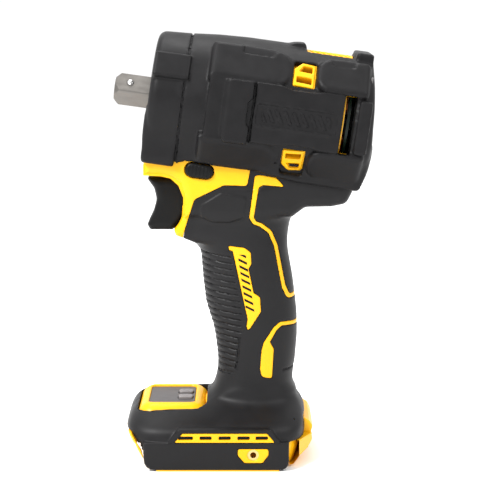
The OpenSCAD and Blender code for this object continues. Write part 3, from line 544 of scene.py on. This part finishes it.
def boot_outside(q):
    """The boot's main form: head, flanges, nose, straps and long pads."""
    s, y, t = q[:, 0], q[:, 1], q[:, 2]
    wide = np.abs(y)
    radius = track([-42, -38.6, -37, -26, -14, -2, 14, 48, 54],
                   [24.2, 24.6, 25.1, 25.7, 26.8, 27.3, 27.3, 27.1, 26.2], s, 1.2)
    lift = np.where(t > 0, 1 + 0.025 * np.clip(t / 12, 0, 1), 1)
    round_head = np.hypot(y, t / lift) - radius
    rear = (s - np.interp(t, REAR_EDGE_AT, REAR_EDGE)) * 0.97
    ends = common(BOOT_FRONT - s, rear)
    d = common(round_head, ends, 3.4)
    # flanges that hang down beside the block under the head
    flange_low = np.interp(s, [-26, -21, -4, 6, 12, 24, 60],
                           [-25.9, -23.8, -23.5, -23.6, -24.8, -26.2, -26.4])
    flange = common((flange_low - t) * 0.98, wide - 18.9, 2.6)
    flange = common(np.maximum(flange, t + 8), common(-38.1 - s, rear), 2.2)
    d = union(d, flange, 3)
    nose_box = common(common(-26.3 - t, wide - 20.4, 4), common(-38.5 - s, s + 25.5, 1.5), 1.6)
    d = union(d, np.maximum(nose_box, t + 4), 2.0)
    # the ring seam behind the nose
    d = cut(d, np.maximum(np.abs(s + 24.9) - 0.42, -(d + 0.6)), 0.3)
    # tab on the shoulder of the nose
    tab = bar(q, math.radians(58), [(-37.9, -5.4, 0.8), (-23.6, -5.4, 0.8), (-23.6, 5.4, 0.8),
                                    (-37.9, 5.4, 0.8)], 27.2, 1.0)
    d = union(d, tab, 0.7)
    # side strap, between the long pads
    strap = common(plate(s, t, -15.2, 3.2, -12.2, 12.4, 1.5), wide - 27.5, 0.8)
    d = union(d, np.maximum(strap, 15 - wide), 0.5)
    pads = [
        bar(q, UPPER, [(-15.9, -8.9, 1.4), (16.3, -8.9, 8.4), (16.3, 8.7, 8), (-15.9, 8.7, 1)],
            29.7, 2.4, 8, 0.13),
        bar(q, LOWER, [(-17.1, -8, 1.2), (10.5, -8, 6), (15.6, -2, 4), (13.6, 5.5, 4), (6, 7.9, 6),
                       (-17.1, 7.9, 1)], 29.5, 2.6, 6, 0.14),
        bar(q, UPPER, [(26, -8.4, 7.5), (47.6, -8.4, 2.5), (47.6, 8.6, 2.5), (26, 8.6, 7.5)],
            29.5, 2.6),
        bar(q, LOWER, [(27, -8, 7.5), (49.2, -8, 2), (49.2, 8, 2), (27, 8, 7.5)], 29.4, 2.4),
    ]
    for pad in pads:
        d = union(d, pad, 1.0)
    return d


def boot_details(q, d):
    """Facets, grooves and the side panel, cut into the boot's outside or laid on it."""
    s, y, t = q[:, 0], q[:, 1], q[:, 2]
    wide = np.abs(y)
    across, out = along(q, UPPER)
    shelf = outline(s, across, [(-3.6, -11, 0.5), (10.5, -11, 2.5), (8.6, -4.4, 2), (-3.6, -4.4, 0.8)])
    d = cut(d, np.maximum(shelf, 28.8 - out), 0.5)
    rear_shelf = outline(s, across, [(31, -9, 1.5), (42, -9, 1.5), (41, -4, 1.5), (32.5, -4, 1.5)])
    d = cut(d, np.maximum(rear_shelf, 28.9 - out), 0.5)
    # vertical pad with a leaning front facet
    pad = outline(s, t, [(-9.6, -9, 3), (-6.6, -12.5, 1), (2.1, -12.4, 1), (2.4, -6, 0.4),
                         (0.9, -4, 0.4), (0.9, 4, 0.4), (2.5, 6, 0.4), (2.2, 12.3, 1),
                         (-9.6, 12.3, 2.5)])
    lean = (wide - 29.3 + 0.9 * (-7.3 - s)) / 1.345
    pad = common(common(pad, wide - 29.3, 0.7), lean, 0.6)
    d = union(d, np.maximum(pad, 18 - wide), 0.4)
    # side panel with wavy edges, its gap in front and the plain band where a mark would be
    panel = outline(s, t, [(3.5, -11.4, 0.6), (14, -11.5, 2), (19, -10.4, 3), (26, -10.4, 3),
                           (31, -11.3, 2), (38.7, -11.2, 0.5), (38.7, 12, 0.5), (30, 12, 2),
                           (26, 11.2, 3), (18, 11.2, 3), (13, 12.4, 2), (3.5, 12.4, 0.6)])
    panel = common(panel, wide - 27.7, 0.55)
    d = union(d, np.maximum(panel, 18 - wide), 0.35)
    d = cut(d, np.maximum(plate(s, t, 2.5, 3.4, -11.6, 12, 0.3), 26.2 - wide), 0.3)
    band = plate(s, t, 4.6, 36.6, -4.0, 4.0, 0.5)
    d = cut(d, np.maximum(band, 27.45 - wide), 0.2)
    lines = np.maximum(np.abs(np.abs(t) - 4.6) - 0.28, np.abs(s - 19.5) - 15)
    d = union(d, common(np.maximum(lines, 20 - wide), wide - 27.95, 0.15), 0.1)
    phase = np.abs(((s + 0.55 * t) / 3.4) % 1 - 0.5) * 3.4
    bars = np.maximum(np.maximum(0.95 - phase, np.abs(t) - 2.6), np.abs(s - 20.6) - 13.6)
    d = union(d, common(np.maximum(bars, 20 - wide), wide - 27.75, 0.15), 0.1)
    # strap behind the side window
    strap = common(plate(s, t, 44.6, 49.6, -10.6, 10.6, 1.2), wide - 28.1, 0.8)
    d = union(d, np.maximum(strap, 18 - wide), 0.5)
    # lugs on top
    lug_slope = (t - 28.2 - 0.45 * (s - 15.2)) / 1.1
    lug = common(box(q, (13.6, -6.5, 20), (21.1, 6.5, 28.9), 0.9), lug_slope, 1.2)
    d = union(d, lug, 0.8)
    rear_lug = box(q, (41.6, -12, 20), (48.6, 12, 28.5), 1.2)
    return union(d, rear_lug, 1.0)


def boot_inside(q):
    """The space for the hammer case, the barrel with its screw bosses, and the block below."""
    s, y, t = q[:, 0], q[:, 1], q[:, 2]
    wide = np.abs(y)
    r = np.hypot(y, t)
    bore = np.interp(s, [-36.2, -36, -34, -25.4, 5.7, 5.9, 49.1, 49.3],
                     [17.6, 17.6, 17.8, 22.9, 22.9, 24.7, 24.7, 18])
    d = r - bore
    bosses = np.hypot(wide - 17.3, np.abs(t) - 17.3) - 2.7
    d = union(d, np.maximum(bosses, np.minimum(np.abs(s) - 15.2, np.abs(s - 37.9) - 9.6)))
    slot = np.maximum(wide - 17.05, t + 17.4)
    return union(d, slot, 0.6)


WINDOW = [(17.0, -6.0, 1.3), (26.3, -6.0, 1.3), (26.3, 6.0, 1.5), (17.0, 6.0, 1.5)]


def boot_field(p):
    q = head(p)
    s, t = q[:, 0], q[:, 2]
    wide = np.abs(q[:, 1])
    d = boot_details(q, boot_outside(q))
    for angle in VENT_ANGLES:
        across, out = along(q, angle)
        d = cut(d, np.maximum(outline(s, across, WINDOW), 20 - out), 0.5)
    d = cut(d, np.maximum(plate(s, t, 38.7, 43.4, -11.5, 11.9, 0.8), 18 - wide), 0.5)
    d = cut(d, np.maximum(plate(s, q[:, 1], 21.6, 40.9, -9.6, 9.6, 1.0), 18 - t), 0.6)
    d = cut(d, np.maximum(button_side(p) - 0.5, 12 - wide), 0.5)
    return cut(d, boot_inside(q), 0.4)


# ---------------------------------------------------------------- yellow parts over the housing

def shell(p, thick=1.6, proud=0.0):
    """A layer that lies on the housing, under the same outside as the skins."""
    base = body_form(p) - proud
    return np.maximum(base, -(base + thick))


def side_inlay(corners, inner, proud=0.0, edge=0.25):
    """An inlay on both sides of the tool, kept to where |y| is over inner."""
    def field(p):
        d = common(shell(p, 1.7, proud), outline(p[:, 0], p[:, 2], corners), edge)
        return np.maximum(d, inner - np.abs(p[:, 1]))
    return field


def frame_field(p):
    """The yellow surround of the trigger and the direction button."""
    d = common(shell(p, 1.7, 0.05), outline(p[:, 0], p[:, 2], FRAME), 0.25)
    q = head(p)
    d = np.maximum(d, 23.0 - np.hypot(q[:, 1], q[:, 2]))
    d = cut(d, box(p, (-60, -9.6, 96.1), (-20, 9.6, 118.4), 0.3), 0.3)
    hole = np.maximum(button_side(p) - 0.35, 10 - np.abs(p[:, 1]))
    return cut(d, hole, 0.4)


def lip_field(p):
    """The yellow front edge of the foot."""
    x, y, z = p[:, 0], p[:, 1], p[:, 2]
    form = common(loft(p, LIP, 8, 1.2), 0.4 - z, 0.8)
    d = common(form, outline(x, z, LIP_EDGE) + SEAM, 0.4)
    d = np.maximum(d, -(form + 5))
    d = np.maximum(d, -np.maximum(z - 10.9, np.abs(y) - 28.8))
    grip_line = np.maximum(np.abs(z - 12.9) - 0.4, np.abs(y) - 22)
    return cut(d, np.maximum(grip_line, -(form + 0.5)), 0.25)


BUMPER = [(17.4, 0.9, 0.5), (19.8, 1.1, 1), (22.2, 4.2, 1.2), (26.2, 5.6, 1.5), (28.7, 8.6, 1.8),
          (28.7, 13.0, 1.8), (26.9, 16.2, 2), (24.3, 17.8, 1), (17.4, 11.3, 0.5)]


def bumper_field(p):
    """The heel behind the battery slot, with its corners taken off and a finger groove."""
    x, y, z = p[:, 0], p[:, 1], p[:, 2]
    wide = np.abs(y)
    d = common(outline(x, z, BUMPER), wide - 30.6, 1.2)
    facet = (x - 20.5 + 0.51 * (wide - 30)) / 1.12
    d = common(d, facet, 1.0)
    d = np.maximum(d, heel_side(p) + SEAM)
    groove = np.hypot(x - 30.6, (z - 10.8) * 0.8) - 3.0
    d = cut(d, np.maximum(groove, wide - 15), 0.8)
    return common(d, 17.5 - x, 0.3)


def bezel_field(p):
    """The raised frame round the mode panel, with sloping sides."""
    z = p[:, 2]
    side = bezel_side(p)
    top = BEZEL_HIGH[2]
    lean = (side + 1.15 * (z - 21.0)) / 1.52
    d = common(common(side, z - top, 1.0), lean, 1.6)
    d = common(d, 18.4 - z, 0.2)
    mouth = (panel_side(p) - 0.9 * (z - top + 0.7)) / 1.35
    d = cut(d, np.maximum(panel_side(p), 18 - z), 0.3)
    return cut(d, np.maximum(mouth, PANEL_HIGH[2] - 0.3 - z), 0.4)


def panel_field(p):
    """The label panel, with shallow wells round its keys."""
    d = common(panel_side(p) + 0.12, np.abs(p[:, 2] - (PANEL_HIGH[2] - 0.6)) - 0.45, 0.15)
    for key in ("mode_key", "lamp_key"):
        lowest, highest = low(key), high(key)
        hole = plate(p[:, 0], p[:, 1], lowest[0] - 0.3, highest[0] + 0.3,
                     lowest[1] - 0.3, highest[1] + 0.3, 1.2)
        d = cut(d, hole, 0.15)
    return d


def key_field(name):
    lowest, highest = low(name), high(name)
    middle = (lowest + highest) / 2

    def field(p):
        side = plate(p[:, 0], p[:, 1], lowest[0], highest[0], lowest[1], highest[1], 1.0)
        off_middle = (p[:, 0] - middle[0]) ** 2 + (p[:, 1] - middle[1]) ** 2
        crown = p[:, 2] - highest[2] + 0.02 * off_middle
        d = common(side, crown, 0.5)
        d = common(d, highest[2] - 2.4 - p[:, 2], 0.2)
        mark = np.abs(np.hypot(p[:, 0] - middle[0], p[:, 1] - middle[1]) - 1.15) - 0.16
        return cut(d, np.maximum(mark, -(crown + 0.12)), 0.05)
    return field


# ---------------------------------------------------------------- trigger, button, vents

TRIGGER_LOW, TRIGGER_HIGH = low("trigger"), high("trigger")
TRIGGER = [
    (-40.6, 117.4, 1.2), (-37.2, 112.6, 4), (-36.2, 108, 6), (-37.6, 103, 5), (-40.2, 97.6, 1.4),
    (-39, 95.3, 1.5), (-29.8, 95.3, 1), (-26, 98.6, 2), (-23, 103, 3), (-22.4, 110, 3),
    (-24.4, 115.2, 3), (-28.5, 117.6, 2)]


def trigger_field(p):
    d = common(outline(p[:, 0], p[:, 2], TRIGGER, 6), np.abs(p[:, 1]) - 9.0, 3.6)
    stem = common(np.hypot(p[:, 1], p[:, 2] - 107.5) - 3, np.abs(p[:, 0] + 20) - 4.6, 0.3)
    return union(d, stem, 0.3)


def button_field(p):
    """The direction button: a bar through the housing with a domed, lined pad at each end."""
    wide = np.abs(p[:, 1])
    x, z = p[:, 0] - BUTTON_X, p[:, 2] - BUTTON_Z
    u, v = x * COS_TILT - z * SIN_TILT, x * SIN_TILT + z * COS_TILT
    side = button_side(p)
    dome = wide - BUTTON_HIGH[1] + 0.035 * v * v + 0.012 * u * u
    d = common(side, dome, 0.9)
    lines = np.abs(((u / 1.5) % 1) - 0.5) * 1.5
    ridge = np.maximum(np.maximum(0.42 - lines, side + 1.0), 12 - wide)
    return union(d, common(ridge, dome - 0.22, 0.1), 0.2)


VENT_FRAME = [(17.3, -5.6, 0.5), (25.7, -5.6, 0.5), (25.7, 5.6, 0.5), (20.3, 5.6, 0.5),
              (17.3, 2.4, 0.5)]
VENT_UPPER = [(19.1, 1.5, 0.3), (20.9, 4.4, 0.3), (24.5, 4.4, 0.4), (24.5, 1.5, 0.4)]
VENT_LOWER = [(18.5, -3.9, 0.4), (24.6, -3.9, 0.4), (24.6, -1.0, 0.4), (18.5, -1.0, 0.4)]


def vent_field(angle, side, flip):
    """A yellow vent frame in one of the boot's corner windows."""
    def field(p):
        q = head(p)
        y = q[:, 1] * side
        out = y * math.sin(angle) + q[:, 2] * math.cos(angle)
        across = (y * math.cos(angle) - q[:, 2] * math.sin(angle)) * flip
        s = q[:, 0]
        d = common(outline(s, across, VENT_FRAME), np.abs(out - 25.9) - 1.1, 0.5)
        slope = (out - 27 + 0.16 * (s - 21)) / 1.02
        d = common(d, slope, 0.4)
        for hole in (VENT_UPPER, VENT_LOWER):
            d = cut(d, outline(s, across, hole), 0.4)
        return d
    return field


def grille_field(p):
    """The grille under the boot's top window, with slanting slots."""
    q = head(p)
    s, y, t = q[:, 0], q[:, 1], q[:, 2]
    arch = np.hypot(y, t) - 26.4
    d = common(plate(s, y, 21.9, 40.6, -9.2, 9.2, 0.8), np.abs(arch + 1.0) - 1.0, 0.3)
    phase = np.abs(((s + 0.5 * y) / 2.3) % 1 - 0.5) * 2.3
    slots = np.maximum(phase - 0.62, plate(s, y, 22.9, 39.6, -7.6, 7.6, 0.6))
    return cut(d, slots, 0.3)


# ---------------------------------------------------------------- materials

def look(name, colour, rough, metal=0.0, vary=0.08, mottle=6.0, grain=0.4, depth=0.02,
         polish=0.05, stretch=(1, 1, 1), specular=0.5, clear=0.0):
    """A material with mottled colour and gloss and a fine grain.

    mottle and grain are feature sizes in mm and depth is how deep the grain is, in mm.
    """
    material = bpy.data.materials.new(name)
    material.use_nodes = True
    tree = material.node_tree
    tree.nodes.clear()
    make, join = tree.nodes.new, tree.links.new
    out = make("ShaderNodeOutputMaterial")
    shader = make("ShaderNodeBsdfPrincipled")
    join(shader.outputs["BSDF"], out.inputs["Surface"])
    shader.inputs["Metallic"].default_value = metal
    shader.inputs["Specular IOR Level"].default_value = specular
    shader.inputs["Transmission Weight"].default_value = clear
    where = make("ShaderNodeTexCoord")
    scaling = make("ShaderNodeMapping")
    scaling.inputs["Scale"].default_value = stretch
    join(where.outputs["Object"], scaling.inputs["Vector"])

    def noise(size, detail, roughness=0.55):
        node = make("ShaderNodeTexNoise")
        node.inputs["Scale"].default_value = 1 / (size * METRE)
        node.inputs["Detail"].default_value = detail
        node.inputs["Roughness"].default_value = roughness
        join(scaling.outputs["Vector"], node.inputs["Vector"])
        return node.outputs["Fac"]

    broad = noise(mottle, 4)
    ramp = make("ShaderNodeValToRGB")
    ramp.color_ramp.elements[0].position = 0.3
    ramp.color_ramp.elements[1].position = 0.7
    for element, factor in zip(ramp.color_ramp.elements, (1 - vary, 1 + vary)):
        element.color = [min(1, c * factor) for c in colour] + [1]
    join(broad, ramp.inputs["Fac"])
    join(ramp.outputs["Color"], shader.inputs["Base Color"])
    fine = noise(grain, 3)
    gloss = make("ShaderNodeMapRange")
    gloss.inputs["From Min"].default_value = 0.3
    gloss.inputs["From Max"].default_value = 0.7
    gloss.inputs["To Min"].default_value = rough - polish
    gloss.inputs["To Max"].default_value = rough + polish
    join(broad, gloss.inputs["Value"])
    join(gloss.outputs["Result"], shader.inputs["Roughness"])
    bump = make("ShaderNodeBump")
    bump.inputs["Strength"].default_value = 1
    bump.inputs["Distance"].default_value = depth * METRE
    join(fine, bump.inputs["Height"])
    join(bump.outputs["Normal"], shader.inputs["Normal"])
    return material


YELLOW = (0.82, 0.41, 0.003)
RUBBER = (0.0075, 0.0072, 0.0077)
LOOKS = {
    "yellow_housing": look("yellow_housing", YELLOW, 0.34, vary=0.03, grain=0.35, depth=0.012,
                           specular=0.25),
    "grip_rubber": look("grip_rubber", RUBBER, 0.46, vary=0.12, grain=0.3, depth=0.02,
                        specular=0.19),
    "boot_rubber": look("boot_rubber", RUBBER, 0.46, vary=0.15, grain=0.45, depth=0.03, polish=0.06,
                        specular=0.14),
    "black_plastic": look("black_plastic", (0.005, 0.005, 0.005), 0.4, grain=0.3, depth=0.015,
                          specular=0.12),
    "panel_grey": look("panel_grey", (0.05, 0.044, 0.045), 0.4, grain=0.25, depth=0.006),
    "key_grey": look("key_grey", (0.17, 0.155, 0.155), 0.42, grain=0.25, depth=0.006),
    "circuit_board": look("circuit_board", (0.006, 0.022, 0.014), 0.4, vary=0.2, mottle=1.5,
                          specular=0.3),
    "potting_grey": look("potting_grey", (0.1, 0.1, 0.11), 0.3, vary=0.15, mottle=4),
    "wire_red": look("wire_red", (0.35, 0.015, 0.012), 0.4, depth=0.006),
    "insulator_cream": look("insulator_cream", (0.68, 0.63, 0.52), 0.5, depth=0.01),
    "copper": look("copper", (0.72, 0.25, 0.1), 0.3, 1.0, vary=0.2, mottle=0.8, stretch=(1, 6, 1)),
    "brass": look("brass", (0.74, 0.5, 0.2), 0.3, 1.0, vary=0.1, mottle=1.5),
    "bronze": look("bronze", (0.55, 0.35, 0.15), 0.4, 1.0, vary=0.15, mottle=0.7, depth=0.01),
    "seal_rubber": look("seal_rubber", (0.02, 0.02, 0.021), 0.6, vary=0.1),
    "clear_lens": look("clear_lens", (0.9, 0.92, 0.92), 0.12, depth=0.004, clear=0.75, polish=0.03),
    "cast_aluminium": look("cast_aluminium", (0.6, 0.6, 0.61), 0.48, 1.0, vary=0.12, grain=0.25,
                           depth=0.03),
    "drive_steel": look("drive_steel", (0.17, 0.16, 0.148), 0.36, 1.0, vary=0.1, mottle=5, grain=0.5,
                        depth=0.006, polish=0.05, stretch=(1, 3, 1)),
    "dark_steel": look("dark_steel", (0.2, 0.19, 0.19), 0.36, 1.0, vary=0.15, mottle=2, depth=0.01),
    "bright_steel": look("bright_steel", (0.66, 0.65, 0.64), 0.22, 1.0, vary=0.08, mottle=2,
                         depth=0.004),
    "lamination_steel": look("lamination_steel", (0.3, 0.29, 0.29), 0.45, 1.0, vary=0.2, mottle=1,
                             grain=0.4, depth=0.03, stretch=(4, 0.5, 0.5)),
    "magnet_nickel": look("magnet_nickel", (0.58, 0.57, 0.54), 0.25, 1.0, vary=0.08,
                          depth=0.004),
    "screw_steel": look("screw_steel", (0.14, 0.135, 0.135), 0.38, 1.0, vary=0.15, mottle=1.2),
}
for cad_node in NODES.values():
    for material_slot in cad_node.material_slots:
        material_slot.material = LOOKS[material_slot.material.name.split(".")[0]]


# ---------------------------------------------------------------- the pieces

def build(name, field, low_corner, high_corner, step, slot_name, replaced=(), body="tool", crease=38):
    piece = surface(name, field, low_corner, high_corner, step, crease)
    return place(piece, LOOKS[slot_name], body, replaced)


build("rubber_boot", boot_field, (-46, -31, 110), (58, 31, 182), 0.62, "boot_rubber",
      ["protective_boot"])
build("skin_near", skin_field(-1), (-51, -34, 0), (48, 0.2, 126), 0.5, "grip_rubber",
      ["grip_skin_left"])
build("skin_far", skin_field(1), (-51, -0.2, 0), (48, 34, 126), 0.5, "grip_rubber",
      ["grip_skin_right"])
build("trigger_surround", frame_field, (-44, -18, 92), (4, 18, 132), 0.4, "yellow_housing")
for name, corners, inner in (("line_upper", PIPE_UPPER, 0.0), ("line_lower", PIPE_LOWER, 0.0),
                             ("side_plate", LABEL, 5.0)):
    build(name, side_inlay(corners, inner), (-7, -17, 33), (24, 17, 120), 0.4, "yellow_housing")


def strip_field(p):
    x, z = p[:, 0], p[:, 2]
    wide = np.abs(p[:, 1])
    d = common(outline(x, z, VENT_STRIP), np.abs(wide - 32.2) - 0.85, 0.3)
    for left, right in ((-27, -21), (-18.3, -13.4), (-10.6, -5.7), (-3, 2), (4.4, 9.4)):
        d = cut(d, plate(x, z, left, right, 13.35, 14.9, 0.5), 0.2)
    return d


def hook_field(p):
    x, z = p[:, 0], p[:, 2]
    wide = np.abs(p[:, 1])
    d = common(outline(x, z, HOOK_PLATE), np.abs(wide - 32.2) - 0.95, 0.4)
    return cut(d, np.hypot(x - 3.4, z - 6.9) - 2.3, 0.5)


def painted_shade_field(p):
    """A black sheet behind the foot's vent slots: painted shade, standing in for the shadow inside the
    slots.
    """
    inner = np.abs(np.abs(p[:, 1]) - 31.85) - 0.2
    return common(plate(p[:, 0], p[:, 2], -27.4, 10.6, 12.9, 15.4, 0.5), inner, 0.1)


def rim_field(p):
    """The bare lower edge of the housing, under the skins."""
    side = plate(p[:, 0], p[:, 2], -36, 14, 0.02, 0.75, 0.2)
    return common(side, np.abs(np.abs(p[:, 1]) - 30.9) - 1.8, 0.15)


def marks_field(p):
    """Slanting bars on the side plate."""
    x, z = p[:, 0], p[:, 2]
    middle = -1.5 + (88 - z) * 0.148
    bars = np.abs(((z + 0.5 * x) / 2.6) % 1 - 0.5) * 2.6
    d = np.maximum(np.maximum(0.75 - bars, np.abs(x - middle) - 1.7), np.abs(z - 74.5) - 12)
    base = body_form(p) - 0.07
    return np.maximum(common(d, np.maximum(base, -(base + 0.7)), 0.08), 5 - np.abs(p[:, 1]))


# painted shade: a black sheet behind the vent slots, where only the slots' own shadow falls
build("vent_painted_shade", painted_shade_field, (-28, -33, 12), (12, 33, 17), 0.3, "black_plastic")
build("foot_rim", rim_field, (-37, -33, 0), (15, 33, 1), 0.3, "yellow_housing")
build("plate_marks", marks_field, (-5, -16, 61), (8, 16, 88), 0.25, "black_plastic")
build("foot_vents", strip_field, (-29, -34, 12), (13, 34, 17), 0.3, "yellow_housing")
build("hook_plates", hook_field, (-3, -34, 3), (10, 34, 10), 0.3, "yellow_housing")
build("foot_lip", lip_field, (-52, -33, 0), (-40, 33, 21), 0.4, "yellow_housing")
build("heel", bumper_field, (17, -26, 1), (30, 26, 19), 0.4, "yellow_housing", ["foot_bumper"])
build("panel_frame", bezel_field, BEZEL_LOW - 1, BEZEL_HIGH + 1, 0.35, "yellow_housing", ["mode_bezel"])
build("label_panel", panel_field, PANEL_LOW - 1, PANEL_HIGH + 1, 0.3, "panel_grey", ["mode_panel"])
build("key_mode", key_field("mode_key"), low("mode_key"), high("mode_key"), 0.12, "key_grey",
      ["mode_key"], "mode_key")
build("key_lamp", key_field("lamp_key"), low("lamp_key"), high("lamp_key"), 0.12, "key_grey",
      ["lamp_key"], "lamp_key")
build("trigger_lever", trigger_field, TRIGGER_LOW, TRIGGER_HIGH, 0.4, "black_plastic", ["trigger"],
      "trigger")
build("reverse_button", button_field, BUTTON_LOW, BUTTON_HIGH + 0.3, 0.3, "black_plastic",
      ["direction_button"], "direction_button")
for side in (-1, 1):
    for number, (angle, flip) in enumerate(zip(VENT_ANGLES, (-1, 1))):
        corner = np.array(from_head(21.5, side * 25.4 * math.sin(angle), 25.4 * math.cos(angle)))
        where = f"{('near', 'far')[side > 0]}_{('upper', 'lower')[number]}"
        build("vent_frame_" + where, vent_field(angle, side, flip), corner - 8, corner + 8, 0.3,
              "yellow_housing")
grille_at = np.array(from_head(31, 0, 25.5))
build("top_grille", grille_field, grille_at - [11, 10, 5], grille_at + [11, 10, 4], 0.35,
      "yellow_housing")


# ---------------------------------------------------------------- floor, light, camera

def softbox(name, place_at, aim, size, power):
    data = bpy.data.lights.new(name, "AREA")
    data.shape = "RECTANGLE"
    data.size, data.size_y = size
    data.energy = power
    light = bpy.data.objects.new(name, data)
    bpy.context.scene.collection.objects.link(light)
    light.location = place_at
    light.rotation_euler = (Vector(aim) - Vector(place_at)).to_track_quat("-Z", "Y").to_euler()


CENTRE = (0, 0, 0.09)
softbox("key", (-0.55, -0.5, 0.8), CENTRE, (0.25, 0.25), 13)
softbox("rim", (0.55, -0.35, 0.75), CENTRE, (0.25, 0.5), 2.5)
softbox("top", (-0.05, 0.25, 0.9), CENTRE, (0.5, 0.3), 4)

world = bpy.data.worlds.new("studio")
world.use_nodes = True
world.node_tree.nodes["Background"].inputs["Color"].default_value = (1, 1, 1, 1)
world.node_tree.nodes["Background"].inputs["Strength"].default_value = 1.1
bpy.context.scene.world = world
bpy.context.scene.view_settings.view_transform = "Standard"

bpy.ops.mesh.primitive_plane_add(size=40, location=(0, 0, 0))
floor = bpy.context.object
floor.name = "floor"
paper = look("floor_paper", (0.93, 0.93, 0.93), 0.9, vary=0.005, mottle=60, grain=3)
floor.data.materials.append(paper)

camera_data = bpy.data.cameras.new("camera")
camera = bpy.data.objects.new("camera", camera_data)
bpy.context.scene.collection.objects.link(camera)
camera_data.lens = 109.8
camera_data.sensor_width = 36
camera.location = (0.0015, -0.626, 0.2008)
sight = Vector((0.0015, 0, 0.0856)) - camera.location
camera.rotation_euler = sight.to_track_quat("-Z", "Y").to_euler()
bpy.context.scene.camera = camera
